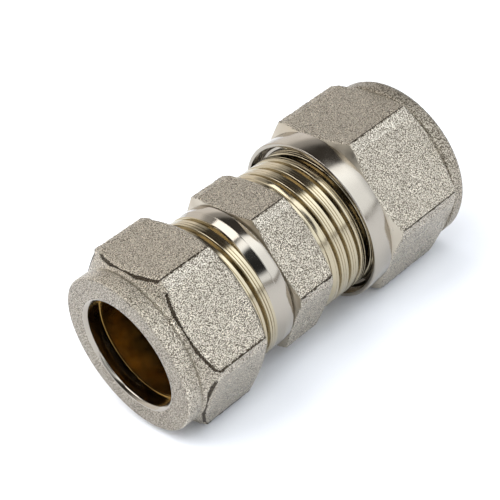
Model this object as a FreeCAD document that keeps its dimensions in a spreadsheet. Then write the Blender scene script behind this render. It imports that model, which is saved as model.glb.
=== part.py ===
"""Straight compression coupling for a 15 mm copper tube and a 16 x 2 mm multilayer plastic pipe.

The object lies along X: the copper side is at -X, the plastic side at +X, +Z is up, and the
origin is on the axis, midway between the two end faces. Lengths are in millimetres.

A forged, nickel-plated brass body has a hexagon in its middle and a parallel pipe thread at each
end. On the copper side a hexagon nut drives a soft brass olive into the cone of the body's mouth.
On the plastic side a longer nut closes a split ring on the pipe, which is pushed over a stem
insert with two O-rings. A third O-ring seals the insert in the body, and an insulating washer
keeps the pipe's aluminium layer off the brass. Threads are plain cylinders at their crest.
"""

import FreeCAD, Part
import Sketcher
import os

# The driving dimensions. They become the cells of the document's spreadsheet.
SIZES = {
    # the whole coupling and what it joins
    "overall_length": 50.4,
    "tube_diameter": 15.0,
    "pipe_diameter": 16.0,
    "pipe_wall": 2.0,
    "thread_diameter": 20.6,
    "thread_play": 0.1,
    "seat_gap": 0.05,
    # body
    "body_hex_flats": 20.5,
    "body_hex_width": 6.6,
    "body_hex_place": 19.1,
    "body_corner_round": 0.9,
    "body_front_chamfer": 0.4,
    "body_back_chamfer": 0.8,
    "copper_shank_length": 12.3,
    "ring_width": 1.3,
    "ring_groove_width": 0.2,
    "ring_groove_depth": 0.3,
    "undercut_width": 1.2,
    "undercut_depth": 0.35,
    "pex_shank_length": 12.2,
    "pex_undercut_width": 1.1,
    "shank_chamfer": 0.7,
    "mouth_cone_depth": 3.4,
    "waterway_diameter": 11.6,
    "insert_socket_depth": 4.7,
    # copper nut
    "copper_nut_flats": 23.0,
    "copper_nut_length": 12.8,
    "copper_corner_round": 1.1,
    "boss_diameter": 22.4,
    "boss_width": 2.2,
    "boss_edge": 0.3,
    "cove_width": 0.8,
    "cove_depth": 0.3,
    "nut_chamfer_outer": 0.9,
    "nut_chamfer_inner": 1.1,
    "copper_wall": 2.55,
    "entry_chamfer": 0.5,
    "seat_wall": 0.6,
    # olive
    "olive_length": 6.2,
    "olive_diameter": 17.5,
    "olive_end_diameter": 16.0,
    "olive_land": 1.8,
    "tube_play": 0.05,
    "socket_play": 0.1,
    # pex nut
    "pex_nut_flats": 23.5,
    "pex_nut_length": 17.9,
    "pex_corner_round": 1.1,
    "skirt_diameter": 23.7,
    "skirt_width": 3.2,
    "skirt_edge": 0.25,
    "skirt_recess_diameter": 22.5,
    "skirt_recess_depth": 1.3,
    "pex_chamfer_outer": 1.1,
    "collar_diameter": 24.0,
    "collar_width": 2.3,
    "collar_edge": 0.6,
    "ring_room_place": 7.4,
    "ring_room_diameter": 19.4,
    "entry_play": 0.35,
    # split ring
    "split_ring_length": 8.0,
    "split_ring_diameter": 19.1,
    "split_ring_bore_play": 0.15,
    "split_ring_nose": 16.9,
    "split_cone_length": 2.0,
    "split_gap": 1.6,
    "grip_depth": 0.25,
    "grip_pitch": 1.2,
    # stem insert
    "flange_diameter": 17.4,
    "flange_width": 1.4,
    "stem_length": 7.8,
    "stem_play": 0.05,
    "stem_bore_diameter": 7.8,
    "stem_tip": 0.8,
    "tail_length": 4.4,
    "socket_diameter": 14.0,
    "tail_play": 0.05,
    "barb_depth": 0.2,
    "barb_pitch": 0.5,
    # seals
    "stem_seal_section": 1.3,
    "stem_seal_stand": 0.15,
    "tail_seal_section": 1.5,
    "groove_play": 0.15,
    "front_seal_place": 2.4,
    "rear_seal_place": 4.7,
    "tail_seal_place": 2.2,
    # insulating washer
    "washer_width": 1.0,
    "washer_diameter": 15.8,
    "washer_play": 0.1,
    "washer_seat_step": 0.45,
}

# Positions along X, and radii that two parts share, each worked out from the sizes.
PLACES = {
    "copper_face": "- overall_length / 2",
    "copper_hex": "copper_face + boss_width + cove_width",
    "copper_end": "copper_face + copper_nut_length",
    "body_hex": "copper_face + body_hex_place",
    "body_hex_end": "body_hex + body_hex_width",
    "copper_mouth": "body_hex - copper_shank_length",
    "pex_mouth": "body_hex_end + pex_shank_length",
    "pex_end": "overall_length / 2",
    "pex_face": "pex_end - pex_nut_length",
    "pex_hex": "pex_face + skirt_width",
    "pex_hex_end": "pex_end - collar_width",
    "thread_radius": "thread_diameter / 2",
    "nut_bore_radius": "thread_diameter / 2 + thread_play",
    "olive_start": "copper_face + copper_wall + seat_gap",
    "olive_end": "olive_start + olive_length",
    "olive_cone": "( olive_length - olive_land ) / 2",
    "olive_seat": "olive_diameter / 2 + seat_gap",
    "olive_slope": "( olive_diameter - olive_end_diameter ) / 2 / olive_cone",
    "socket_radius": "tube_diameter / 2 + socket_play",
    "flange_start": "pex_mouth + seat_gap",
    "flange_end": "flange_start + flange_width",
    "stem_end": "flange_end + stem_length",
    "stem_radius": "pipe_diameter / 2 - pipe_wall - stem_play",
    "tail_start": "flange_start - tail_length",
    "tail_radius": "socket_diameter / 2 - tail_play",
    "washer_start": "flange_end + seat_gap",
    "washer_end": "washer_start + washer_width",
    "washer_seat_radius": "stem_radius + washer_seat_step",
    "split_start": "flange_end + seat_gap",
    "split_end": "split_start + split_ring_length",
    "split_bore": "pipe_diameter / 2 + split_ring_bore_play",
    "split_seat": "split_ring_diameter / 2 + seat_gap",
    "split_slope": "( split_ring_diameter - split_ring_nose ) / 2 / split_cone_length",
    "front_seal": "stem_end - front_seal_place",
    "rear_seal": "stem_end - rear_seal_place",
    "tail_seal": "flange_start - tail_seal_place",
}

SHEET = "Sizes"
FULL_TURN = 360.0
GRIP_TEETH = 4
SMALL = 1e-6

document = FreeCAD.newDocument("CompressionCoupling")
sheet = document.addObject("Spreadsheet::Sheet", SHEET)
for row, (alias, value) in enumerate(SIZES.items(), start=1):
    sheet.set(f"A{row}", alias)
    sheet.set(f"B{row}", str(value))
    sheet.setAlias(f"B{row}", alias)
document.recompute()


def bound(formula):
    """The formula with every size written as its spreadsheet cell and every place spelled out."""
    words = []
    for word in str(formula).split():
        if word in PLACES:
            word = f"({bound(PLACES[word])})"
        elif word in SIZES:
            word = f"{SHEET}.{word}"
        words.append(word)
    return " ".join(words)


def new_body(label):
    """An empty body whose label also names its file."""
    body = document.addObject("PartDesign::Body", label)
    body.Label = label
    return body


def new_sketch(body, name, role):
    """A sketch on one of the body's own origin planes."""
    plane = next(f for f in body.Origin.OriginFeatures if f.Role == role)
    sketch = body.newObject("Sketcher::SketchObject", name)
    sketch.AttachmentSupport = [(plane, "")]
    sketch.MapMode = "FlatFace"
    return sketch


def hold(sketch, item, point, across, up):
    """Hold one point of the sketch at two bound distances from the sketch's origin."""
    for kind, formula in (("DistanceX", across), ("DistanceY", up)):
        if formula == 0:
            axis = -2 if kind == "DistanceX" else -1
            sketch.addConstraint(Sketcher.Constraint("PointOnObject", item, point, axis))
            continue
        rough = Sketcher.Constraint(kind, -1, 1, item, point, 1.0)
        index = sketch.addConstraint(rough)
        sketch.setExpression(f"Constraints[{index}]", bound(formula))


def draw_outline(sketch, corners):
    """Add a closed outline of straight lines whose corners are all held."""
    first = sketch.GeometryCount
    count = len(corners)
    for i in range(count):
        here = FreeCAD.Vector(i, i * i, 0)
        there = FreeCAD.Vector((i + 1) % count, ((i + 1) % count) ** 2, 0)
        sketch.addGeometry(Part.LineSegment(here, there), False)
    for i in range(count):
        following = first + (i + 1) % count
        sketch.addConstraint(Sketcher.Constraint("Coincident", first + i, 2, following, 1))
    for i, (across, up) in enumerate(corners):
        hold(sketch, first + i, 1, across, up)


def profile_sketch(body, name, outlines):
    """One or more closed outlines in the XZ plane: along the axis, and out from it."""
    sketch = new_sketch(body, name, "XZ_Plane")
    for corners in outlines:
        draw_outline(sketch, corners)
    document.recompute()
    return sketch


def turn(body, kind, name, outlines):
    """Revolve outlines about the X axis, as added or removed material."""
    sketch = profile_sketch(body, f"{name}_outline", outlines)
    feature = body.newObject(f"PartDesign::{kind}", name)
    feature.Profile = sketch
    feature.ReferenceAxis = (sketch, ["H_Axis"])
    feature.Angle = FULL_TURN
    document.recompute()
    return feature


def add_turned(body, name, *outlines):
    return turn(body, "Revolution", name, outlines)


def cut_turned(body, name, *outlines):
    """Cut turned outlines away, and make sure that they did cut."""
    before = body.Shape.Volume
    groove = turn(body, "Groove", name, outlines)
    if not before - groove.Shape.Volume > SMALL:
        raise RuntimeError(f"{body.Label}: {name} removes nothing")
    return groove


def add_hexagon(body, name, flats, start, width, corner_round):
    """A hexagonal prism along X with two flats level, its long edges rounded."""
    sketch = new_sketch(body, f"{name}_outline", "YZ_Plane")
    half = f"{flats} / 2"
    side = f"{flats} / 2 / sqrt(3)"
    point = f"{flats} / sqrt(3)"
    corners = [
        (side, half), (f"- {side}", half), (f"- {point}", 0),
        (f"- {side}", f"- {half}"), (side, f"- {half}"), (point, 0),
    ]
    draw_outline(sketch, corners)
    sketch.setExpression("AttachmentOffset.Base.z", bound(start))
    prism = body.newObject("PartDesign::Pad", name)
    prism.Profile = sketch
    prism.setExpression("Length", bound(width))
    document.recompute()
    long_edges = []
    for number, edge in enumerate(prism.Shape.Edges, start=1):
        ends = [vertex.Point for vertex in edge.Vertexes]
        if abs(ends[0].x - ends[1].x) > SMALL:
            long_edges.append(f"Edge{number}")
    rounding = body.newObject("PartDesign::Fillet", f"{name}_corners")
    rounding.Base = (prism, long_edges)
    rounding.setExpression("Radius", bound(corner_round))
    document.recompute()
    return rounding


def add_ring_of_round_section(label, middle, ring_radius, section):
    """A seal ring: a circle revolved about the axis."""
    body = new_body(label)
    sketch = new_sketch(body, f"{label}_section", "XZ_Plane")
    start = FreeCAD.Vector(1, 5, 0)
    circle = Part.Circle(start, FreeCAD.Vector(0, 0, 1), 0.5)
    sketch.addGeometry(circle, False)
    hold(sketch, 0, 3, middle, ring_radius)
    index = sketch.addConstraint(Sketcher.Constraint("Radius", 0, 0.5))
    sketch.setExpression(f"Constraints[{index}]", bound(f"{section} / 2"))
    document.recompute()
    ring = body.newObject("PartDesign::Revolution", f"{label}_ring")
    ring.Profile = sketch
    ring.ReferenceAxis = (sketch, ["H_Axis"])
    ring.Angle = FULL_TURN
    document.recompute()
    return body


def corner_cuts(flats, start, end, start_depth, end_depth):
    """Two triangles that chamfer a hexagon's corners at its two end faces."""
    inner = f"{flats} / 2"
    outer = f"{flats} / sqrt(3) + 0.2"
    return (
        [(start, inner), (f"{start} + {start_depth}", outer), (start, outer)],
        [(end, inner), (end, outer), (f"{end} - {end_depth}", outer)],
    )


def make_fitting_body():
    """The forged body: a hexagon with a threaded shank at each side, bored right through."""
    body = new_body("fitting_body")
    add_hexagon(body, "hexagon", "body_hex_flats", "body_hex", "body_hex_width",
                "body_corner_round")
    cut_turned(body, "hexagon_chamfers", *corner_cuts(
        "body_hex_flats", "body_hex", "body_hex_end", "body_front_chamfer", "body_back_chamfer"))
    crest = "thread_radius"
    low = "thread_radius - undercut_depth"
    edge = "thread_radius - shank_chamfer"
    groove_end = "body_hex - ring_groove_width"
    ring_start = f"{groove_end} - ring_width"
    undercut_start = f"{ring_start} - undercut_width"
    add_turned(body, "shanks", [
        ("copper_mouth", "socket_radius - 1"), ("copper_mouth", edge),
        ("copper_mouth + shank_chamfer", crest), (undercut_start, crest),
        (f"{undercut_start} + undercut_depth", low), (ring_start, low), (ring_start, crest),
        (groove_end, crest), (groove_end, "thread_radius - ring_groove_depth"),
        ("body_hex", "thread_radius - ring_groove_depth"),
        ("body_hex_end", low), ("body_hex_end + pex_undercut_width", low),
        ("body_hex_end + pex_undercut_width + undercut_depth", crest),
        ("pex_mouth - shank_chamfer", crest), ("pex_mouth", edge),
        ("pex_mouth", "socket_radius - 1"),
    ])
    document.recompute()
    mouth = "olive_end_diameter / 2 + seat_gap + ( olive_end - copper_mouth ) * olive_slope"
    bottom = "socket_radius"
    cut_turned(body, "bore", [
        ("copper_mouth - 1", 0), ("copper_mouth - 1", mouth), ("copper_mouth", mouth),
        (f"copper_mouth + ( {mouth} - {bottom} ) / olive_slope", bottom),
        ("body_hex", bottom), ("body_hex", "waterway_diameter / 2"),
        ("pex_mouth - insert_socket_depth", "waterway_diameter / 2"),
        ("pex_mouth - insert_socket_depth", "socket_diameter / 2"),
        ("pex_mouth + 1", "socket_diameter / 2"), ("pex_mouth + 1", 0),
    ])
    return body


def make_copper_nut():
    """The nut on the copper side, with a round boss where the tube enters."""
    body = new_body("copper_nut")
    add_hexagon(body, "hexagon", "copper_nut_flats", "copper_hex", "copper_end - copper_hex",
                "copper_corner_round")
    cut_turned(body, "hexagon_chamfers", *corner_cuts(
        "copper_nut_flats", "copper_hex", "copper_end", "nut_chamfer_outer",
        "nut_chamfer_inner"))
    boss = "boss_diameter / 2"
    boss_end = "copper_face + boss_width"
    add_turned(body, "boss", [
        ("copper_face", "socket_radius"), ("copper_face", f"{boss} - boss_edge"),
        ("copper_face + boss_edge * 0.3", f"{boss} - boss_edge * 0.3"),
        ("copper_face + boss_edge", boss), (boss_end, boss),
        (f"{boss_end} + cove_width * 0.25", f"{boss} - cove_depth"),
        (f"{boss_end} + cove_width * 0.65", f"{boss} - cove_depth"),
        (f"{boss_end} + cove_width", boss), (f"{boss_end} + cove_width", "socket_radius"),
    ])
    entry = "socket_radius + socket_play"
    seat = "copper_face + copper_wall"
    seat_end = "olive_start + olive_cone + seat_wall"
    cut_turned(body, "bore", [
        ("copper_face - 1", 0), ("copper_face - 1", f"{entry} + entry_chamfer"),
        ("copper_face", f"{entry} + entry_chamfer"), ("copper_face + entry_chamfer", entry),
        (seat, entry), (seat, "olive_end_diameter / 2 + seat_gap"),
        ("olive_start + olive_cone", "olive_seat"), (seat_end, "olive_seat"),
        (f"{seat_end} + nut_bore_radius - olive_seat", "nut_bore_radius"),
        ("copper_end - entry_chamfer", "nut_bore_radius"),
        ("copper_end", "nut_bore_radius + entry_chamfer"),
        ("copper_end + 1", "nut_bore_radius + entry_chamfer"), ("copper_end + 1", 0),
    ])
    return body


def make_olive():
    """The soft ring that the copper nut squeezes onto the tube: a cone at each end."""
    body = new_body("olive")
    bore = "tube_diameter / 2 + tube_play"
    add_turned(body, "ring", [
        ("olive_start", bore), ("olive_start", "olive_end_diameter / 2"),
        ("olive_start + olive_cone", "olive_diameter / 2"),
        ("olive_end - olive_cone", "olive_diameter / 2"),
        ("olive_end", "olive_end_diameter / 2"), ("olive_end", bore),
    ])
    return body


def make_pex_nut():
    """The longer nut on the plastic side: a turned skirt, a hexagon and a round collar."""
    body = new_body("pex_nut")
    add_hexagon(body, "hexagon", "pex_nut_flats", "pex_hex", "pex_hex_end - pex_hex",
                "pex_corner_round")
    cut_turned(body, "hexagon_chamfers", *corner_cuts(
        "pex_nut_flats", "pex_hex", "pex_hex_end", "pex_chamfer_outer", "nut_chamfer_inner"))
    skirt = "skirt_diameter / 2"
    collar = "collar_diameter / 2"
    core = "pipe_diameter / 2"
    add_turned(body, "skirt_and_collar", [
        ("pex_face", core), ("pex_face", f"{skirt} - skirt_edge"),
        ("pex_face + skirt_edge * 0.3", f"{skirt} - skirt_edge * 0.3"),
        ("pex_face + skirt_edge", skirt), ("pex_hex", skirt), ("pex_hex", "pex_nut_flats / 2 - 1"),
        ("pex_hex_end", "pex_nut_flats / 2 - 1"), ("pex_hex_end", collar),
        ("pex_end - collar_edge", collar),
        ("pex_end - collar_edge * 0.3", f"{collar} - collar_edge * 0.3"),
        ("pex_end", f"{collar} - collar_edge"), ("pex_end", core),
    ])
    recess = "skirt_recess_diameter / 2"
    recess_end = "pex_face + skirt_recess_depth"
    entry = "pipe_diameter / 2 + entry_play"
    room = "ring_room_diameter / 2"
    room_start = "pex_face + ring_room_place"
    cone_start = "split_end - split_cone_length"
    cone_low = "split_ring_nose / 2 + seat_gap"
    cut_turned(body, "bore", [
        ("pex_face - 1", 0), ("pex_face - 1", recess), (recess_end, recess),
        (f"{recess_end} + {recess} - nut_bore_radius", "nut_bore_radius"),
        (room_start, "nut_bore_radius"), (f"{room_start} + nut_bore_radius - {room}", room),
        (f"{cone_start} - ( {room} - split_seat ) / split_slope", room),
        ("split_end + seat_gap", cone_low), ("split_end + seat_gap", entry),
        ("pex_end - entry_chamfer", entry), ("pex_end", f"{entry} + entry_chamfer"),
        ("pex_end + 1", f"{entry} + entry_chamfer"), ("pex_end + 1", 0),
    ])
    return body


def make_split_ring():
    """The slotted clamp ring with gripping teeth inside and a cone outside."""
    body = new_body("split_ring")
    add_turned(body, "ring", [
        ("split_start", "split_bore"), ("split_start", "split_ring_diameter / 2"),
        ("split_end - split_cone_length", "split_ring_diameter / 2"),
        ("split_end", "split_ring_nose / 2"), ("split_end", "split_bore"),
    ])
    teeth = []
    for tooth in range(GRIP_TEETH):
        start = f"split_start + 0.9 + grip_pitch * {tooth}"
        teeth.append([
            (start, "split_bore - 0.1"), (start, "split_bore + grip_depth"),
            (f"{start} + grip_pitch * 0.85", "split_bore - 0.1"),
        ])
    cut_turned(body, "grip_teeth", *teeth)
    slot = new_sketch(body, "slot_outline", "XY_Plane")
    draw_outline(slot, [
        ("split_start - 1", "- split_gap / 2"), ("split_end + 1", "- split_gap / 2"),
        ("split_end + 1", "split_gap / 2"), ("split_start - 1", "split_gap / 2"),
    ])
    before = body.Shape.Volume
    cut = body.newObject("PartDesign::Pocket", "slot")
    cut.Profile = slot
    cut.setExpression("Length", bound("split_ring_diameter"))
    cut.Reversed = True
    document.recompute()
    if not before - cut.Shape.Volume > SMALL or cut.Shape.BoundBox.ZMin > 0:
        raise RuntimeError("split_ring: the slot is on the wrong side")
    return body


def make_pipe_insert():
    """The brass stem the plastic pipe is pushed over, with its flange and sealed tail."""
    body = new_body("pipe_insert")
    inner = "stem_bore_diameter / 2"
    barb = "stem_radius - barb_depth"
    chamfer = "tail_radius - 0.4"
    add_turned(body, "turned_shape", [
        ("tail_start", inner), ("tail_start", chamfer), ("tail_start + 0.4", "tail_radius"),
        ("flange_start", "tail_radius"), ("flange_start", "flange_diameter / 2"),
        ("flange_end", "flange_diameter / 2"), ("flange_end", "washer_seat_radius"),
        ("washer_end", "washer_seat_radius"), ("washer_end", "stem_radius"),
        ("stem_end - stem_tip", "stem_radius"), ("stem_end", f"stem_radius - stem_tip * 0.7"),
        ("stem_end", inner),
    ])
    half = "( stem_seal_section / 2 + groove_play )"
    stem_floor = "stem_radius + stem_seal_stand - stem_seal_section"
    tail_half = "( tail_seal_section / 2 + groove_play )"
    tail_floor = "socket_diameter / 2 - seat_gap - tail_seal_section"
    above = "stem_radius + 0.3"
    tail_above = "tail_radius + 0.3"
    cut_turned(
        body, "seal_grooves",
        [(f"front_seal - {half}", stem_floor), (f"front_seal + {half}", stem_floor),
         (f"front_seal + {half}", above), (f"front_seal - {half}", above)],
        [(f"rear_seal - {half}", stem_floor), (f"rear_seal + {half}", stem_floor),
         (f"rear_seal + {half}", above), (f"rear_seal - {half}", above)],
        [(f"tail_seal - {tail_half}", tail_floor), (f"tail_seal + {tail_half}", tail_floor),
         (f"tail_seal + {tail_half}", tail_above), (f"tail_seal - {tail_half}", tail_above)],
    )
    barb_start = "washer_end + 0.3"
    second = f"{barb_start} + barb_pitch"
    cut_turned(
        body, "barbs",
        [(barb_start, "stem_radius + 0.1"), (barb_start, barb),
         (f"{barb_start} + barb_pitch * 0.8", "stem_radius + 0.1")],
        [(second, "stem_radius + 0.1"), (second, barb),
         (f"{second} + barb_pitch * 0.8", "stem_radius + 0.1")],
    )
    return body


def make_washer():
    """The plastic washer between the flange and the end of the pipe."""
    body = new_body("insulating_washer")
    bore = "washer_seat_radius + washer_play"
    add_turned(body, "ring", [
        ("washer_start", bore), ("washer_start", "washer_diameter / 2"),
        ("washer_end", "washer_diameter / 2"), ("washer_end", bore),
    ])
    return body


stem_ring = "stem_radius + stem_seal_stand - stem_seal_section / 2"
tail_ring = "socket_diameter / 2 - seat_gap - tail_seal_section / 2"

bodies = [
    make_fitting_body(),
    make_copper_nut(),
    make_olive(),
    make_pex_nut(),
    make_split_ring(),
    make_pipe_insert(),
    make_washer(),
    add_ring_of_round_section("stem_o_ring_front", "front_seal", stem_ring, "stem_seal_section"),
    add_ring_of_round_section("stem_o_ring_rear", "rear_seal", stem_ring, "stem_seal_section"),
    add_ring_of_round_section("seat_o_ring", "tail_seal", tail_ring, "tail_seal_section"),
]
document.recompute()

for item in document.Objects:
    if "Invalid" in item.State or "Error" in item.State:
        raise RuntimeError(f"{item.Label} is in state {item.State}")

os.makedirs("parts", exist_ok=True)
for body in bodies:
    if body.Shape.isNull() or not body.Shape.isValid():
        raise RuntimeError(f"{body.Label} has no valid shape")
    if len(body.Shape.Solids) != 1:
        raise RuntimeError(f"{body.Label} is in {len(body.Shape.Solids)} pieces")
    body.Shape.exportStep(f"parts/{body.Label}.step")
    box = body.Shape.BoundBox
    print(f"{body.Label:20s} {body.Shape.Volume:9.1f} mm3  X {box.XMin:7.2f} {box.XMax:7.2f}"
          f"  radius {box.YMax:6.2f}")
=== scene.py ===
"""A nickel-plated brass compression coupling: copper tube at -X, plastic pipe at +X, +Z up.

The two nuts and the body are forged blanks, shot-blasted, then turned and threaded where they
work, and nickel plated. Here each is spun from its turned outline, cut to its hexagon, and given
real helical threads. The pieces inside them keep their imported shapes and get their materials.
"""

import math

import bmesh
import bpy
from mathutils import Matrix, Vector, noise


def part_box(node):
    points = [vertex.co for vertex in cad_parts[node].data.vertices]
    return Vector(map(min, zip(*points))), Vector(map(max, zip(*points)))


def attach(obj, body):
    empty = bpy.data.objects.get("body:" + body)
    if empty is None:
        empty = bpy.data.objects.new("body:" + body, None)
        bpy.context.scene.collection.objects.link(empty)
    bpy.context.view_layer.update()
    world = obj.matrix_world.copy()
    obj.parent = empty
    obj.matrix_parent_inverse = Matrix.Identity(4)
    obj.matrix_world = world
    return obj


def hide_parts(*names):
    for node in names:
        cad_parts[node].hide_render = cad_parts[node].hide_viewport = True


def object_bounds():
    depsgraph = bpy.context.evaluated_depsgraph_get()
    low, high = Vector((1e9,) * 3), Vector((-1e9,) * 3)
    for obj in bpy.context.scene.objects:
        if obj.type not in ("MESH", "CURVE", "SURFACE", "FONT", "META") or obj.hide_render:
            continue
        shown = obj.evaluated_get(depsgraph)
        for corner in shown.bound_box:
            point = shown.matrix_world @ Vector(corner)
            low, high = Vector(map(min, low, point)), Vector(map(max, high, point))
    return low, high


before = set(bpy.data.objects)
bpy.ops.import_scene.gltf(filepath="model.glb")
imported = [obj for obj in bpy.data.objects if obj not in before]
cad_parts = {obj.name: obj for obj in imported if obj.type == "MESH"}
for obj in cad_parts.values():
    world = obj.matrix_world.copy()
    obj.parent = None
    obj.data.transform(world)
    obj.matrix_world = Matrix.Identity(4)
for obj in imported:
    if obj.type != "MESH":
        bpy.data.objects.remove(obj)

bl_info = {
    "name": "Compression Coupling",
    "version": (1, 0, 0),
    "blender": (4, 5, 0),
    "location": "View3D > Sidebar > Coupling",
    "description": "Builds a forged, nickel-plated compression coupling round its packed parts",
    "category": "Object",
}

CAD_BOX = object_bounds()
MM = 0.001
BODY_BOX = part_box("fitting_body")
COPPER_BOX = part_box("copper_nut")
PEX_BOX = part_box("pex_nut")


# Sizes and colours a user can change

class CouplingSizes(bpy.types.PropertyGroup):
    """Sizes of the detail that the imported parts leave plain."""

    thread_pitch: bpy.props.FloatProperty(
        name="Thread pitch", description="Advance of the pipe threads in one turn",
        default=1.814 * MM, unit="LENGTH", precision=5)
    thread_depth: bpy.props.FloatProperty(
        name="Thread depth", description="Depth of the thread grooves",
        default=0.8 * MM, unit="LENGTH", precision=5)
    groove_width: bpy.props.FloatProperty(
        name="Groove width", description="Width of a thread groove at the crest",
        default=0.62 * MM, unit="LENGTH", precision=5)
    grain: bpy.props.FloatProperty(
        name="Blasting grain", description="Width of the dimples left by the shot",
        default=0.125 * MM, unit="LENGTH", precision=5)
    turning_feed: bpy.props.FloatProperty(
        name="Turning feed", description="Spacing of the lathe tool's marks",
        default=0.09 * MM, unit="LENGTH", precision=5)


class CouplingColours(bpy.types.PropertyGroup):
    """Colours of the finishes, as sRGB hex values."""

    nickel_high: bpy.props.StringProperty(
        name="Nickel", description="Nickel plate on the crowns of the grain", default="#E0D7C6")
    nickel_shaded: bpy.props.StringProperty(
        # Painted shade: the plate is painted this dark colour low in the grain's dimples.
        name="Nickel in the dimples", description="Nickel plate low in the grain",
        default="#5B5246")
    # Partly painted shade: the forged ends are rougher, and this colour is also darkened as
    # painted shade for the dim things they mirror.
    nickel_scaled_and_shaded: bpy.props.StringProperty(
        name="Scaled nickel", description="Nickel plate over the rougher forged ends",
        default="#C0B7A7")
    # Painted shade: this near-black brown is painted into the forging's creases, where shade
    # falls.
    nickel_crease_shade: bpy.props.StringProperty(
        name="Nickel in the creases", description="Thin, dull plate in the forging's creases",
        default="#261F1A")
    # Painted highlight: the corner facets are painted this paler colour.
    nickel_edge_highlight: bpy.props.StringProperty(
        name="Worn nickel", description="Nickel rubbed bright along the edges",
        default="#E4DCCD")
    nickel_turned: bpy.props.StringProperty(
        name="Turned nickel", description="Nickel plate on turned brass", default="#A9A297")
    thread: bpy.props.StringProperty(
        name="Threads", description="Thin nickel plate on the threads, warmed by the brass",
        default="#B3A890")
    brass: bpy.props.StringProperty(
        name="Brass", description="Unplated turned brass", default="#D9B36A")
    plastic: bpy.props.StringProperty(
        name="Washer plastic", description="Insulating washer", default="#E6E4DD")
    rubber: bpy.props.StringProperty(
        name="Seal rubber", description="O-rings", default="#17181A")
    table: bpy.props.StringProperty(
        name="Table", description="Surface the coupling lies on", default="#F7F9FE")


def sizes():
    """The user's sizes, in metres."""
    return bpy.context.scene.coupling_sizes


def colours():
    """The user's colours."""
    return bpy.context.scene.coupling_colours


def linear(hex_colour):
    """An sRGB hex colour as opaque linear RGBA."""
    channels = [int(hex_colour[i:i + 2], 16) / 255 for i in (1, 3, 5)]
    bent = [c / 12.92 if c <= 0.04045 else ((c + 0.055) / 1.055) ** 2.4 for c in channels]
    return (*bent, 1.0)


# Materials

CLOUD_WIDTH = 3.0 * MM  # of the duller and brighter patches in blasted plate
SMEAR_WIDTH = 1.6 * MM  # of those in turned plate
NOISE_LOW, NOISE_HIGH = 0.3, 0.7  # nearly all of a noise texture lies between these
RING_STRETCH = 0.04  # how fast the lathe's marks change round the piece, against along it
DIMPLE_LOW, DIMPLE_HIGH = 0.44, 0.56  # noise from a dimple's floor, painted dark as shade, to a paler crown


def add_node(tree, kind, values=(), **settings):
    """Add a node. Settings are its own properties; values are its inputs, each a constant or
    the socket to link."""
    new = tree.nodes.new(kind)
    for name, value in settings.items():
        setattr(new, name, value)
    set_inputs(tree, new, values)
    return new


def new_material(name):
    """An empty material with its Principled shader joined to the output."""
    material = bpy.data.materials.new(name)
    material.use_nodes = True
    tree = material.node_tree
    tree.nodes.clear()
    shader = add_node(tree, "ShaderNodeBsdfPrincipled")
    add_node(tree, "ShaderNodeOutputMaterial", {"Surface": shader.outputs["BSDF"]})
    return material, tree, shader


def set_inputs(tree, node, values):
    """Give a node's inputs their constants, or link the sockets that stand for them."""
    for key, value in dict(values).items():
        if isinstance(value, bpy.types.NodeSocket):
            tree.links.new(value, node.inputs[key])
        else:
            node.inputs[key].default_value = value


def object_place(tree):
    """Each point's place on its own piece, in metres."""
    return add_node(tree, "ShaderNodeTexCoord").outputs["Object"]


def colour_out(mix):
    """The colour result of a Mix node, whose sockets share one name."""
    return next(s for s in mix.outputs if s.type == "RGBA")


def make_blasted_nickel(name, high, low, grain, roughness, bite):
    """Nickel plate over shot-blasted forged brass: a pebbled satin metal whose dimples catch
    the light one by one, on slightly cloudy plate. The plate is painted darker low in each
    dimple, as painted shade, and paler on the crowns. Bite is the dimples' depth in grain widths.
    The noise is turned off the axes, because it goes flat on a plane that cuts its cells level."""
    material, tree, shader = new_material(name)
    turned = add_node(tree, "ShaderNodeMapping", {
        "Vector": object_place(tree), "Rotation": (0.5, 0.6, 0.7)})
    place = turned.outputs["Vector"]
    dimples = add_node(tree, "ShaderNodeTexNoise", {
        "Vector": place, "Scale": 1 / grain, "Detail": 1.5, "Roughness": 0.55})
    clouds = add_node(tree, "ShaderNodeTexNoise", {
        "Vector": place, "Scale": 1 / CLOUD_WIDTH, "Detail": 3.0})
    spread = add_node(tree, "ShaderNodeMapRange", {
        "Value": dimples.outputs["Fac"], "From Min": DIMPLE_LOW, "From Max": DIMPLE_HIGH})
    # painted shade: darker low in each dimple, paler on the crowns
    painted_dimple_shading = add_node(tree, "ShaderNodeMix", {
        "Factor": spread.outputs["Result"], "A": linear(low), "B": linear(high)},
        data_type="RGBA")
    haze = add_node(tree, "ShaderNodeMapRange", {
        "Value": clouds.outputs["Fac"], "From Min": NOISE_LOW, "From Max": NOISE_HIGH,
        "To Min": roughness - 0.05, "To Max": roughness + 0.05})
    bump = add_node(tree, "ShaderNodeBump", {
        "Height": dimples.outputs["Fac"], "Strength": 1.0, "Distance": grain * bite})
    set_inputs(tree, shader, {
        "Base Color": colour_out(painted_dimple_shading), "Metallic": 1.0, "Roughness": haze.outputs["Result"],
        "Normal": bump.outputs["Normal"]})
    return material


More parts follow.
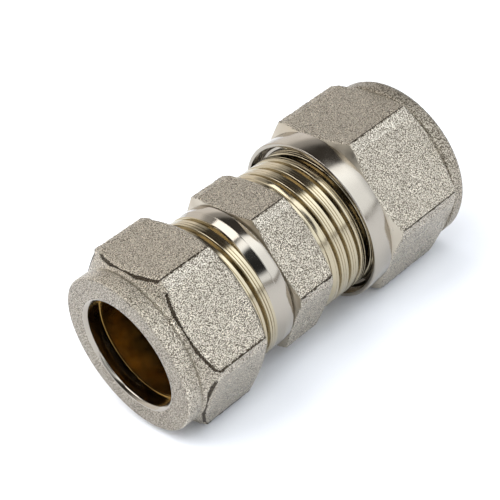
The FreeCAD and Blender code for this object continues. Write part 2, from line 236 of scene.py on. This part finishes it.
def make_turned_metal(name, colour, spacing, roughness, bite):
    """Brass from the lathe, plated or bare: a bright metal with the fine rings of the tool,
    which stretch its reflections along the axis. Bite is the rings' depth in spacings."""
    material, tree, shader = new_material(name)
    place = object_place(tree)
    along = add_node(tree, "ShaderNodeMapping", {
        "Vector": place, "Scale": (1.0, RING_STRETCH, RING_STRETCH)})
    rings = add_node(tree, "ShaderNodeTexNoise", {
        "Vector": along.outputs["Vector"], "Scale": 1 / spacing, "Detail": 2.0})
    smears = add_node(tree, "ShaderNodeTexNoise", {
        "Vector": place, "Scale": 1 / SMEAR_WIDTH, "Detail": 2.0})
    polish = add_node(tree, "ShaderNodeMapRange", {
        "Value": smears.outputs["Fac"], "From Min": NOISE_LOW, "From Max": NOISE_HIGH,
        "To Min": roughness * 0.75, "To Max": roughness * 1.3})
    bump = add_node(tree, "ShaderNodeBump", {
        "Height": rings.outputs["Fac"], "Strength": 1.0, "Distance": spacing * bite})
    set_inputs(tree, shader, {
        "Base Color": linear(colour), "Metallic": 1.0,
        "Roughness": polish.outputs["Result"], "Normal": bump.outputs["Normal"]})
    return material


def make_moulded(name, colour, roughness, grain):
    """Moulded plastic or rubber: an even colour with a faint, fine satin grain."""
    material, tree, shader = new_material(name)
    place = object_place(tree)
    skin = add_node(tree, "ShaderNodeTexNoise", {
        "Vector": place, "Scale": 1 / grain, "Detail": 2.0})
    shine = add_node(tree, "ShaderNodeMapRange", {
        "Value": skin.outputs["Fac"], "To Min": roughness - 0.08, "To Max": roughness + 0.08})
    bump = add_node(tree, "ShaderNodeBump", {
        "Height": skin.outputs["Fac"], "Strength": 0.4, "Distance": grain * 0.1})
    set_inputs(tree, shader, {
        "Base Color": linear(colour), "Roughness": shine.outputs["Result"],
        "Normal": bump.outputs["Normal"]})
    return material


# Shapes, in millimetres until each piece is finished

SAME = 0.001  # vertices closer than this are one

# The finishes of the forged pieces, by their place in each piece's list of materials.
BLASTED, BRIGHT, SATIN, SCALED_AND_SHADED, THREAD, COARSE, CREASE_SHADE, EDGE_HIGHLIGHT = range(8)


def outline(bm, points, edge_round, fine):
    """A closed wire in the XZ plane with its corners rounded. Fine is (low, high, inner, step):
    the edges between those X positions and outside that radius are split into steps."""
    corners = [bm.verts.new((x, 0.0, r)) for x, r in points]
    for pair in zip(corners, corners[1:] + corners[:1]):
        bm.edges.new(pair)
    bmesh.ops.bevel(
        bm, geom=corners, offset=edge_round, offset_type="OFFSET", segments=2, profile=0.5,
        affect="VERTICES", clamp_overlap=True, material=-1)
    low, high, inner, step = fine
    for edge in bm.edges[:]:
        ends = sorted(vert.co.x for vert in edge.verts)
        cuts = int(edge.calc_length() / step)
        outside = min(vert.co.z for vert in edge.verts) > inner
        if cuts > 0 and outside and ends[0] >= low and ends[1] <= high:
            bmesh.ops.subdivide_edges(bm, edges=[edge], cuts=cuts)


def spin_round(bm, steps):
    """Spin everything a sixth of a turn about the X axis, copy it round, and close it."""
    bmesh.ops.spin(
        bm, geom=bm.verts[:] + bm.edges[:], cent=(0, 0, 0), axis=(1, 0, 0),
        angle=math.pi / 3, steps=steps // 6)
    bmesh.ops.spin(
        bm, geom=bm.verts[:] + bm.edges[:] + bm.faces[:], cent=(0, 0, 0), axis=(1, 0, 0),
        angle=math.pi * 5 / 3, steps=5, use_duplicate=True)
    bmesh.ops.remove_doubles(bm, verts=bm.verts[:], dist=SAME)
    bmesh.ops.recalc_face_normals(bm, faces=bm.faces[:])


# Each corner of a forged hexagon is trimmed by a narrow facet that leans towards one flat, and
# a groove runs round the chamfered end of each flat. Noise moves all of them in and out.
FACET_LEAN = math.radians(16)
FACET_CUT = 0.31  # depth of the facet under the sharp corner
EDGE_SOFT = 0.05  # rounding where a flat meets a facet
GROOVE_REACH = 0.42  # half the groove's width, as a difference in radius on the chamfer
GROOVE_SHIFT = 0.1  # the groove's middle is where the chamfer is this far under the flat
DEEP_GROOVE = 0.1  # a groove deeper than this is painted dark, as painted shade
CREASE_HALF = 0.15  # flat and facet are nearer than this to each other where the crease is painted dark as shade
LIP = 0.035  # height of the raised lip along a facet's other edge, and the margin within which a facet is painted paler as a highlight
RAGGED = 0.1  # waver of the edges, and how many waves there are to a millimetre
RAGGED_WAVES = 4.0
SWELL = 0.03  # unevenness of the flats themselves
SWELL_WAVES = 0.6


def hexagon_planes(angle, flats, ragged):
    """Distances from the axis, at this angle, to the nearest flat of a hexagon with two level
    flats and to the leaning facet of the nearest corner, and which side of that corner this
    is. Ragged moves the facet in and out."""
    from_corner = (angle + math.pi / 6) % (math.pi / 3) - math.pi / 6
    flat = flats / 2 / math.cos(math.pi / 6 - abs(from_corner))
    corner = flats / 2 / math.cos(math.pi / 6)
    facet = corner * math.cos(FACET_LEAN) - FACET_CUT - ragged
    return flat, facet / math.cos(from_corner - FACET_LEAN), from_corner


def smaller(first, second, soft):
    """The smaller of two distances, with the edge between them rounded over soft."""
    overlap = max(soft - abs(first - second), 0.0)
    return min(first, second) - overlap ** 2 / (4 * soft)


def set_radius(vert, radius):
    """Move a vertex to this distance from the X axis."""
    factor = radius / math.hypot(vert.co.y, vert.co.z)
    vert.co.y *= factor
    vert.co.z *= factor


def cut_hexagon(bm, low, high, flats, soft, groove):
    """Bring the turned blank in to a hexagon between two X positions. Soft rounds the edge
    between a flat and its chamfer; groove is the depth of the crease round that edge. Paints
    the creases dark as painted shade and the corner facets paler as a painted highlight, and
    returns the vertices that the flats cut."""
    cut, crease_shaded, highlighted = set(), set(), set()
    for vert in bm.verts:
        turned = math.hypot(vert.co.y, vert.co.z)
        along = low - SAME <= vert.co.x <= high + SAME
        if not along or turned < flats / 2 - GROOVE_REACH:
            continue
        ragged = RAGGED * noise.noise(vert.co * RAGGED_WAVES)
        flat, facet, side = hexagon_planes(
            math.atan2(vert.co.z, vert.co.y), flats, ragged)
        sides = smaller(flat, facet, EDGE_SOFT)
        radius = smaller(turned, sides, soft)
        beside = (turned - flat + GROOVE_SHIFT + ragged) / GROOVE_REACH
        if flat < facet:
            radius -= groove * math.exp(-beside ** 2)
            # painted shade: a deep groove is painted dark
            if groove > DEEP_GROOVE and -1.0 < beside < 0.4:
                crease_shaded.add(vert)
        if sides <= turned:
            cut.add(vert)
            # painted shade: the crease where a flat meets its facet is painted dark
            if side < 0 and abs(facet - flat) < CREASE_HALF:
                crease_shaded.add(vert)
            # painted highlight: the facets are painted paler
            elif facet < flat + LIP:
                highlighted.add(vert)
            if side > 0 and abs(facet - flat) < LIP:
                radius += LIP
        radius += SWELL * (noise.noise(vert.co * SWELL_WAVES) - 0.5)
        set_radius(vert, radius)
    # Paint shade dark into the creases, and a paler highlight onto the facets.
    for face in bm.faces:
        for marked, finish in ((crease_shaded, CREASE_SHADE), (highlighted, EDGE_HIGHLIGHT)):
            if sum(vert in marked for vert in face.verts) > 2:
                face.material_index = finish
    return cut


THREAD_STEPS = 72  # to a turn
THREAD_WALL = 0.35  # thickness of a thread's ring
FURROWS = ((0.22, 0.07, 0.11), (0.64, 0.06, 0.09))  # place past the groove, half width, depth


def thread_profile(crest, root, half, pitch):
    """One pitch of the thread as (X, radius) points: the groove, half to each side of X 0, its
    eased edges, and the crest with the furrows that the tool has torn in it."""
    eased = crest - (crest - root) * 0.08
    points = [(-half, eased), (-half * 0.12, root), (half * 0.12, root), (half, crest)]
    for place, reach, depth in FURROWS:
        middle = half + place + reach
        points += [(middle - reach, crest), (middle, crest - depth), (middle + reach, crest)]
    return points + [(pitch - half * 1.12, crest), (pitch - half, eased)]


def add_thread(bm, start, end, crest, root, groove_at, runout, square_end=False):
    """Add a closed ring whose face, seen from its crest side, carries a right-hand helical
    groove. groove_at is an X position the groove passes on the top line; it fades out over
    runout at the start, and at the end too unless that is cut square."""
    pitch = sizes().thread_pitch / MM
    half = sizes().groove_width / MM / 2
    turns = math.ceil((end - start) / pitch) + 2
    first = groove_at - pitch * math.ceil((groove_at - start) / pitch + 1)
    ring = bmesh.new()
    wire = [ring.verts.new((first + x, 0.0, r))
            for x, r in thread_profile(crest, root, half, pitch)]
    for pair in zip(wire, wire[1:]):
        ring.edges.new(pair)
    groove_edge = wire[3]
    bmesh.ops.bevel(
        ring, geom=[groove_edge], offset=0.09, offset_type="OFFSET", segments=3, profile=0.5,
        affect="VERTICES", material=-1)
    bmesh.ops.subdivide_edges(
        ring, edges=[edge for edge in ring.edges if edge.calc_length() > 0.3], cuts=2)
    bmesh.ops.spin(
        ring, geom=ring.verts[:] + ring.edges[:], cent=(0, 0, 0), axis=(1, 0, 0),
        dvec=(pitch / THREAD_STEPS, 0, 0), angle=2 * math.pi, steps=THREAD_STEPS)
    one_turn = ring.verts[:] + ring.edges[:] + ring.faces[:]
    for turn in range(1, turns):
        copied = bmesh.ops.duplicate(ring, geom=one_turn)["geom"]
        bmesh.ops.translate(
            ring, vec=(pitch * turn, 0, 0),
            verts=[part for part in copied if isinstance(part, bmesh.types.BMVert)])
    bmesh.ops.remove_doubles(ring, verts=ring.verts[:], dist=SAME / 2)
    for place, side in ((start, -1), (end, 1)):
        bmesh.ops.bisect_plane(
            ring, geom=ring.verts[:] + ring.edges[:] + ring.faces[:], dist=SAME / 2,
            plane_co=(place, 0, 0), plane_no=(side, 0, 0), clear_outer=True)
    for vert in ring.verts:
        near = (vert.co.x - start) / runout
        if not square_end:
            near = min(near, (end - vert.co.x) / runout)
        keep = min(max(near, 0.0), 1.0)
        keep = keep * keep * (3 - 2 * keep)
        radius = math.hypot(vert.co.y, vert.co.z)
        set_radius(vert, crest + (radius - crest) * keep)
    bmesh.ops.remove_doubles(ring, verts=ring.verts[:], dist=SAME / 2)
    bmesh.ops.recalc_face_normals(ring, faces=ring.faces[:])
    outward = sum(
        face.normal.dot(face.calc_center_median() * Vector((0, 1, 1))) for face in ring.faces)
    if (outward < 0) != (root > crest):
        bmesh.ops.reverse_faces(ring, faces=ring.faces[:])
    bmesh.ops.solidify(ring, geom=ring.faces[:], thickness=THREAD_WALL)
    bmesh.ops.recalc_face_normals(ring, faces=ring.faces[:])
    mesh = bpy.data.meshes.new("thread")
    ring.to_mesh(mesh)
    ring.free()
    before = set(bm.faces)
    bm.from_mesh(mesh)
    bpy.data.meshes.remove(mesh)
    return [face for face in bm.faces if face not in before]


SHARP = math.radians(38)  # edges that turn by more than this stay crisp


def finish_piece(bm, name, materials, body, node):
    """Scale to metres, make the object, put it on its body and let it stand for its node."""
    bmesh.ops.scale(bm, vec=(MM, MM, MM), verts=bm.verts[:])
    mesh = bpy.data.meshes.new(name)
    bm.to_mesh(mesh)
    bm.free()
    for material in materials:
        mesh.materials.append(material)
    for polygon in mesh.polygons:
        polygon.use_smooth = True
    mesh.set_sharp_from_angle(angle=SHARP)
    piece = bpy.data.objects.new(name, mesh)
    bpy.context.scene.collection.objects.link(piece)
    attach(piece, body)
    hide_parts(node)


FINISHES = (
    "shot_blasted_nickel", "bright_turned_nickel", "satin_turned_nickel", "scaled_and_shaded_nickel",
    "thinly_plated_thread", "coarse_turned_nickel", "painted_shade_in_creases",
    "nickel_edges_painted_highlight")


def finishes():
    """The metals that the forged pieces share, made once, in the order of their names above."""
    made = bpy.data.materials
    if FINISHES[0] not in made:
        make_finishes(colours(), sizes().grain, sizes().turning_feed)
    return [made[name] for name in FINISHES]


def make_finishes(tone, grain, spacing):
    """Make the metals of the forged pieces."""
    # Nickel plate on a shot-blasted forging: a pebbled satin that sparkles dimple by dimple,
    # painted darker low in the dimples as shade.
    make_blasted_nickel(
        "shot_blasted_nickel", tone.nickel_high, tone.nickel_shaded, grain, 0.30, 1.15)
    # Nickel plate on finely turned brass: nearly a mirror, smeared along the axis.
    make_turned_metal("bright_turned_nickel", tone.nickel_turned, spacing, 0.12, 0.012)
    # The same on a plainer cut: softer streaks of light.
    make_turned_metal("satin_turned_nickel", tone.nickel_turned, spacing, 0.17, 0.02)
    # Nickel plate over forging scale: coarser and duller than the flats, and painted darker as
    # shade.
    make_blasted_nickel(
        "scaled_and_shaded_nickel", tone.nickel_scaled_and_shaded, tone.nickel_shaded, grain * 1.3, 0.36, 1.0)
    # Thin nickel plate on cut threads: bright, and warmed by the brass under it.
    make_turned_metal("thinly_plated_thread", tone.thread, spacing, 0.15, 0.05)
    # Nickel plate on coarsely turned chamfers: a dull, even sheen, in the ends' colour that is
    # darkened as painted shade.
    make_turned_metal("coarse_turned_nickel", tone.nickel_scaled_and_shaded, spacing, 0.36, 0.08)
    # Painted shade down in the forging's creases: a dark brown line.
    make_blasted_nickel(
        "painted_shade_in_creases", tone.nickel_shaded, tone.nickel_crease_shade, grain, 0.5, 0.6)
    # Painted highlight on the corner facets: paler than the flats, with shallower dimples.
    make_blasted_nickel(
        "nickel_edges_painted_highlight", tone.nickel_edge_highlight, tone.nickel_shaded, grain, 0.34, 0.7)


def paint(faces, finish, low=-1e9, high=1e9, inside=1e9, outside=0.0):
    """Give a finish to the faces between two X positions and two radii."""
    for face in faces:
        centre = face.calc_center_median()
        radius = math.hypot(centre.y, centre.z)
        if low <= centre.x <= high and outside <= radius <= inside:
            face.material_index = finish


def paint_chamfer(faces, cut, low, high, outside):
    """Give the turned chamfer, which no flat has cut, its coarser finish."""
    for face in faces:
        if all(vert not in cut for vert in face.verts):
            paint([face], COARSE, low=low, high=high, outside=outside)


# Operators

NUT_CREST = 10.4  # the nuts' threads clear the body's by 0.1 mm
NUT_ROOT = 10.95
NUT_BORE = 11.0


class COUPLING_OT_fitting_body(bpy.types.Operator):
    """Forged body: hexagon, two threaded shanks, seat cone and waterway"""

    bl_idname = "coupling.fitting_body"
    bl_label = "Fitting Body"

    def execute(self, context):
        start = BODY_BOX[0][0] / MM
        end = BODY_BOX[1][0] / MM
        hex_start = start + 12.3
        hex_end = hex_start + 6.6
        flats, blank = 20.5, 12.1
        crest = 10.3
        core, tip = 9.4, 9.2
        neck = 9.9
        waterway = 5.8
        tube_socket, tail_socket = 7.6, 7.0
        mouth = 8.74
        thread_end = hex_start - 2.96
        bm = bmesh.new()
        outline(bm, [
            (start, mouth), (start, tip), (start + 0.5, core), (thread_end - 0.02, core),
            (thread_end + 0.01, 9.7), (hex_start - 1.7, crest - 0.06),
            (hex_start - 1.66, crest), (hex_start - 0.28, crest), (hex_start - 0.23, neck),
            (hex_start, neck), (hex_start, flats / 2 - 0.05),
            (hex_start + 0.42, blank), (hex_end - 0.85, blank), (hex_end, flats / 2 - 0.1),
            (hex_end, neck - 0.05), (hex_end + 0.12, neck - 0.05), (hex_end + 0.5, 10.05),
            (hex_end + 0.56, 9.97), (hex_end + 0.62, 10.1), (hex_end + 1.05, crest - 0.02),
            (hex_end + 1.2, crest - 0.02), (hex_end + 1.22, core), (end - 0.5, core),
            (end, tip), (end, tail_socket), (end - 4.7, tail_socket), (end - 4.7, waterway),
            (hex_start, waterway), (hex_start, tube_socket), (start + 3.32, tube_socket),
        ], 0.05, (hex_start - 0.01, hex_end + 0.01, 9.0, 0.15))
        spin_round(bm, 432)
        paint(bm.faces, BRIGHT)
        paint(bm.faces, BLASTED, low=hex_start, high=hex_end, outside=neck + 0.09)
        cut = cut_hexagon(bm, hex_start, hex_end, flats, 0.1, 0.04)
        paint_chamfer(bm.faces, cut, hex_start, hex_start + 0.6, neck + 0.09)
        paint(bm.faces, THREAD, low=hex_end + 0.05, outside=core - 0.1)
        root = crest - sizes().thread_depth / MM
        near = add_thread(bm, start + 0.4, thread_end, crest, root, thread_end - 0.34, 0.5,
                          square_end=True)
        far = add_thread(bm, hex_end + 1.18, end - 0.4, crest, root, hex_end + 1.38, 0.25)
        paint(near + far, THREAD)
        finish_piece(bm, "forged_body", finishes(), "fitting_body", "fitting_body")
        return {"FINISHED"}


class COUPLING_OT_copper_nut(bpy.types.Operator):
    """Nut on the copper side: boss, cove, hexagon and internal thread"""

    bl_idname = "coupling.copper_nut"
    bl_label = "Copper Side Nut"

    def execute(self, context):
        face_x = COPPER_BOX[0][0] / MM
        end = COPPER_BOX[1][0] / MM
        hex_start = face_x + 3.0
        flats, blank = 23.0, 13.3
        boss, cove = 11.2, 10.95
        entry, olive_room = 7.7, 8.8
        bm = bmesh.new()
        outline(bm, [
            (face_x, entry + 0.4), (face_x, boss - 0.25), (face_x + 0.08, boss - 0.08),
            (face_x + 0.25, boss), (face_x + 2.1, boss), (face_x + 2.4, cove),
            (face_x + 2.75, cove), (hex_start, boss + 0.1), (hex_start + 1.3, blank),
            (end - 1.2, blank), (end, flats / 2 - 0.15), (end, NUT_BORE - 0.1),
            (end - 0.5, NUT_BORE), (face_x + 6.2, NUT_BORE), (face_x + 5.5, olive_room),
            (face_x + 4.8, olive_room), (face_x + 2.55, entry + 0.35),
            (face_x + 2.55, entry), (face_x + 0.4, entry),
        ], 0.1, (hex_start - 0.3, end + 0.01, boss, 0.14))
        spin_round(bm, 600)
        paint(bm.faces, BLASTED)
        paint(bm.faces, BRIGHT, inside=NUT_BORE + 0.05, low=face_x + 0.45)
        paint(bm.faces, BLASTED, outside=cove - 0.15, high=hex_start)
        # painted shade: the end face takes the darkened scaled plate
        paint(bm.faces, SCALED_AND_SHADED, high=face_x + 0.05)
        paint(bm.faces, SATIN, high=face_x + 0.5, inside=entry + 0.6)
        cut_hexagon(bm, hex_start, end, flats, 0.12, 0.2)
        inner = add_thread(
            bm, face_x + 6.6, end - 0.4, NUT_CREST, NUT_ROOT, end - 1.6, 0.5)
        paint(inner, BRIGHT)
        finish_piece(bm, "copper_side_nut", finishes(), "copper_nut", "copper_nut")
        return {"FINISHED"}


class COUPLING_OT_pex_nut(bpy.types.Operator):
    """Nut on the plastic side: turned skirt, hexagon, round collar and internal thread"""

    bl_idname = "coupling.pex_nut"
    bl_label = "Plastic Side Nut"

    def execute(self, context):
        face_x = PEX_BOX[0][0] / MM
        end = PEX_BOX[1][0] / MM
        hex_start = face_x + 3.2
        hex_end = end - 2.3
        flats, blank = 23.5, 13.6
        chamfer, chamfer_foot = 1.15, 11.7
        skirt, collar = 11.85, 12.0
        entry, ring_room = 8.35, 9.7
        bm = bmesh.new()
        outline(bm, [
            (face_x, NUT_BORE + 0.3), (face_x, skirt - 0.15), (face_x + 0.12, skirt),
            (hex_start, skirt), (hex_start + 0.02, chamfer_foot),
            (hex_start + chamfer, blank), (hex_end - chamfer, blank),
            (hex_end - 0.02, chamfer_foot), (hex_end, chamfer_foot - 0.05),
            (hex_end + 0.15, collar - 0.05), (hex_end + 0.4, collar), (end - 0.6, collar),
            (end - 0.15, collar - 0.2), (end, collar - 0.6), (end, entry + 0.5),
            (end - 0.45, entry), (end - 2.9, entry), (end - 2.9, entry + 0.15),
            (end - 5.0, ring_room - 0.1), (end - 5.2, ring_room), (face_x + 8.1, ring_room),
            (face_x + 7.4, NUT_BORE), (face_x + 2.7, NUT_BORE),
            (face_x + 1.3, NUT_BORE + 0.15), (face_x + 1.25, NUT_BORE + 0.25),
        ], 0.08, (hex_start - 0.3, hex_end + 0.3, chamfer_foot - 0.5, 0.17))
        spin_round(bm, 540)
        paint(bm.faces, BLASTED)
        paint(bm.faces, SATIN, high=hex_start + 0.01)
        # painted shade: the collar takes the darkened scaled plate
        paint(bm.faces, SCALED_AND_SHADED, low=hex_end - 0.02, outside=ring_room - 0.2)
        paint(bm.faces, BRIGHT, inside=chamfer_foot - 0.1, high=end - 0.3, low=face_x + 0.05)
        cut = cut_hexagon(bm, hex_start + 0.015, hex_end - 0.015, flats, 0.12, 0.05)
        paint_chamfer(bm.faces, cut, hex_start, hex_start + 1.2, chamfer_foot - 0.05)
        inner = add_thread(
            bm, face_x + 1.45, face_x + 7.2, NUT_CREST, NUT_ROOT, face_x + 2.7, 0.5)
        paint(inner, BRIGHT)
        finish_piece(bm, "plastic_side_nut", finishes(), "pex_nut", "pex_nut")
        return {"FINISHED"}


class COUPLING_OT_inner_pieces(bpy.types.Operator):
    """Finishes of the olive, split ring, stem insert, washer and seals"""

    bl_idname = "coupling.inner_pieces"
    bl_label = "Inner Pieces"

    def execute(self, context):
        tone = colours()
        # Bare turned brass: a warm yellow with fine rings.
        brass = make_turned_metal(
            "turned_raw_brass", tone.brass, sizes().turning_feed * 1.5, 0.2, 0.02)
        # Moulded acetal: an even white, slightly waxy.
        plastic = make_moulded("moulded_white_acetal", tone.plastic, 0.45, 0.3 * MM)
        # Moulded rubber: black, with a soft sheen.
        rubber = make_moulded("moulded_black_rubber", tone.rubber, 0.55, 0.15 * MM)
        wanted = {
            "olive": brass, "split_ring": brass, "pipe_insert": brass,
            "insulating_washer": plastic, "stem_o_ring_front": rubber,
            "stem_o_ring_rear": rubber, "seat_o_ring": rubber,
        }
        for name, material in wanted.items():
            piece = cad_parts[name]
            piece.data.materials.clear()
            piece.data.materials.append(material)
        return {"FINISHED"}


class COUPLING_OT_stage(bpy.types.Operator):
    """Pale table, soft surroundings, lamps and the camera"""

    bl_idname = "coupling.stage"
    bl_label = "Stage"

    def execute(self, context):
        scene = context.scene
        table_top(CAD_BOX[0][2])
        surroundings(scene)
        lights()
        camera(scene)
        scene.view_settings.view_transform = "Standard"
        return {"FINISHED"}


TABLE_SIZE = 3.0
TABLE_GAP = 0.03 * MM  # the lowest corners stay just clear of the table
FLECKS = 400.0  # to a metre, so each is 2.5 mm wide


def table_top(height):
    """A large level table just under this height."""
    bm = bmesh.new()
    bmesh.ops.create_grid(bm, x_segments=1, y_segments=1, size=TABLE_SIZE)
    bmesh.ops.translate(bm, vec=(0, 0, height - TABLE_GAP), verts=bm.verts[:])
    mesh = bpy.data.meshes.new("table")
    bm.to_mesh(mesh)
    bm.free()
    # Laminate: an even white with a faint satin.
    material, tree, shader = new_material("white_laminate")
    fleck = add_node(tree, "ShaderNodeTexNoise", {
        "Vector": object_place(tree), "Scale": FLECKS, "Detail": 2.0})
    shine = add_node(tree, "ShaderNodeMapRange", {
        "Value": fleck.outputs["Fac"], "To Min": 0.45, "To Max": 0.55})
    set_inputs(tree, shader, {
        "Base Color": linear(colours().table), "Roughness": shine.outputs["Result"],
        "Specular IOR Level": 0.2})
    mesh.materials.append(material)
    table = bpy.data.objects.new("table", mesh)
    bpy.context.scene.collection.objects.link(table)


# Brightness and warmth of the room by angle about the object's axis, from level in front
# (0 degrees), over the top (90) to level behind (180). It is dark overhead and just behind.
ROOM = (
    (0, 0.62, 0.0), (5, 0.7, 0.0), (8, 1.75, -0.05), (40, 1.9, -0.05), (60, 2.5, -0.05),
    (74, 2.5, -0.03), (81, 0.08, 0.1), (120, 0.06, 0.1), (130, 0.5, 0.03), (140, 0.6, 0.03),
    (150, 1.25, 0.03), (180, 1.15, 0.03),
)
ROOM_ENDS = (0.7, 0.92, 0.3)  # shares of X where the ends begin and cease to dim, and to what
VIEWER = (-0.4927, -0.665, 0.5615)  # where a dark figure stands over the table
VIEWER_EDGES = (math.cos(math.radians(22)), math.cos(math.radians(16)))
VIEWER_LIGHT = 0.02


def surroundings(scene):
    """The room that the turned faces mirror: bright in front, dark overhead, paler behind,
    with dim ends and a dark figure."""
    world = bpy.data.worlds.new("studio")
    scene.world = world
    world.use_nodes = True
    tree = world.node_tree
    tree.nodes.clear()
    way = add_node(tree, "ShaderNodeTexCoord").outputs["Generated"]
    parts = add_node(tree, "ShaderNodeSeparateXYZ", {"Vector": way})
    front = add_node(tree, "ShaderNodeMath", {0: parts.outputs["Y"], 1: -1.0},
                     operation="MULTIPLY")
    angle = add_node(tree, "ShaderNodeMath", {0: parts.outputs["Z"], 1: front.outputs[0]},
                     operation="ARCTAN2")
    share = add_node(tree, "ShaderNodeMapRange", {
        "Value": angle.outputs[0], "From Min": 0.0, "From Max": math.pi})
    ramp = add_node(tree, "ShaderNodeValToRGB", {"Fac": share.outputs["Result"]})
    stops = ramp.color_ramp.elements
    while len(stops) > 1:
        stops.remove(stops[-1])
    for index, (degrees, light, warmth) in enumerate(ROOM):
        stop = stops[0] if index == 0 else stops.new(degrees / 180)
        stop.position = degrees / 180
        stop.color = (light * (1 + warmth), light, light * (1 - warmth), 1.0)
    along = add_node(tree, "ShaderNodeMath", {0: parts.outputs["X"]}, operation="ABSOLUTE")
    ends = add_node(tree, "ShaderNodeMapRange", {
        "Value": along.outputs[0], "From Min": ROOM_ENDS[0], "From Max": ROOM_ENDS[1],
        "To Min": 1.0, "To Max": ROOM_ENDS[2]})
    toward = add_node(tree, "ShaderNodeVectorMath", {0: way, 1: VIEWER},
                      operation="DOT_PRODUCT")
    person = add_node(tree, "ShaderNodeMapRange", {
        "Value": toward.outputs["Value"], "From Min": VIEWER_EDGES[0],
        "From Max": VIEWER_EDGES[1], "To Min": 1.0, "To Max": VIEWER_LIGHT})
    level = add_node(tree, "ShaderNodeMath", {
        0: ends.outputs["Result"], 1: person.outputs["Result"]}, operation="MULTIPLY")
    glow = add_node(tree, "ShaderNodeBackground", {
        "Color": ramp.outputs["Color"], "Strength": level.outputs[0]})
    add_node(tree, "ShaderNodeOutputWorld", {"Surface": glow.outputs["Background"]})


def add_lamp(name, place, size, energy, mirrored):
    """A square soft box aimed at the coupling. One that isn't mirrored lights no metal, only
    the surfaces that scatter light."""
    box = bpy.data.lights.new(name, "AREA")
    box.shape = "SQUARE"
    box.size = size
    box.energy = energy
    lamp = bpy.data.objects.new(name, box)
    place = Vector(place)
    turn = place.to_track_quat("Z", "Y").to_matrix().to_4x4()
    lamp.matrix_world = Matrix.Translation(place) @ turn
    lamp.visible_glossy = mirrored
    bpy.context.scene.collection.objects.link(lamp)


def lights():
    """A soft box overhead, and one behind that throws the shadow towards the front right."""
    add_lamp("soft_box", (-0.22, 0.12, 0.45), 0.35, 1.1, True)
    add_lamp("back_light", (-0.12, 0.18, 0.5), 0.9, 2.5, False)


def camera(scene):
    """The view along the coupling from the copper side, above and in front, with the camera
    tilted so that the coupling rises to the right."""
    lens = bpy.data.cameras.new("view")
    lens.lens = 101.32
    lens.sensor_width = 36.0
    place = Vector((-90.87, -122.62, 103.46)) * MM
    aim = Vector((-2.507, 0.996, 1.204)) * MM
    roll = Matrix.Rotation(math.radians(-14.353), 4, "Z")
    turn = (place - aim).to_track_quat("Z", "Y").to_matrix().to_4x4()
    eye = bpy.data.objects.new("view", lens)
    eye.matrix_world = Matrix.Translation(place) @ turn @ roll
    scene.collection.objects.link(eye)
    scene.camera = eye


class COUPLING_PT_panel(bpy.types.Panel):
    """Builders and settings of the coupling"""

    bl_idname = "COUPLING_PT_panel"
    bl_label = "Compression Coupling"
    bl_space_type = "VIEW_3D"
    bl_region_type = "UI"
    bl_category = "Coupling"

    def draw(self, context):
        column = self.layout.column()
        for operator in OPERATORS:
            column.operator(operator.bl_idname)
        for settings in (context.scene.coupling_sizes, context.scene.coupling_colours):
            for name in settings.bl_rna.properties.keys():
                if name not in ("rna_type", "name"):
                    column.prop(settings, name)


OPERATORS = (
    COUPLING_OT_fitting_body,
    COUPLING_OT_copper_nut,
    COUPLING_OT_pex_nut,
    COUPLING_OT_inner_pieces,
    COUPLING_OT_stage,
)
CLASSES = (CouplingSizes, CouplingColours, *OPERATORS, COUPLING_PT_panel)


def register():
    for item in CLASSES:
        bpy.utils.register_class(item)
    bpy.types.Scene.coupling_sizes = bpy.props.PointerProperty(type=CouplingSizes)
    bpy.types.Scene.coupling_colours = bpy.props.PointerProperty(type=CouplingColours)


def unregister():
    del bpy.types.Scene.coupling_colours
    del bpy.types.Scene.coupling_sizes
    for item in reversed(CLASSES):
        bpy.utils.unregister_class(item)


def main():
    register()
    bpy.ops.coupling.fitting_body()
    bpy.ops.coupling.copper_nut()
    bpy.ops.coupling.pex_nut()
    bpy.ops.coupling.inner_pieces()
    bpy.ops.coupling.stage()


if __name__ == "__main__":
    main()
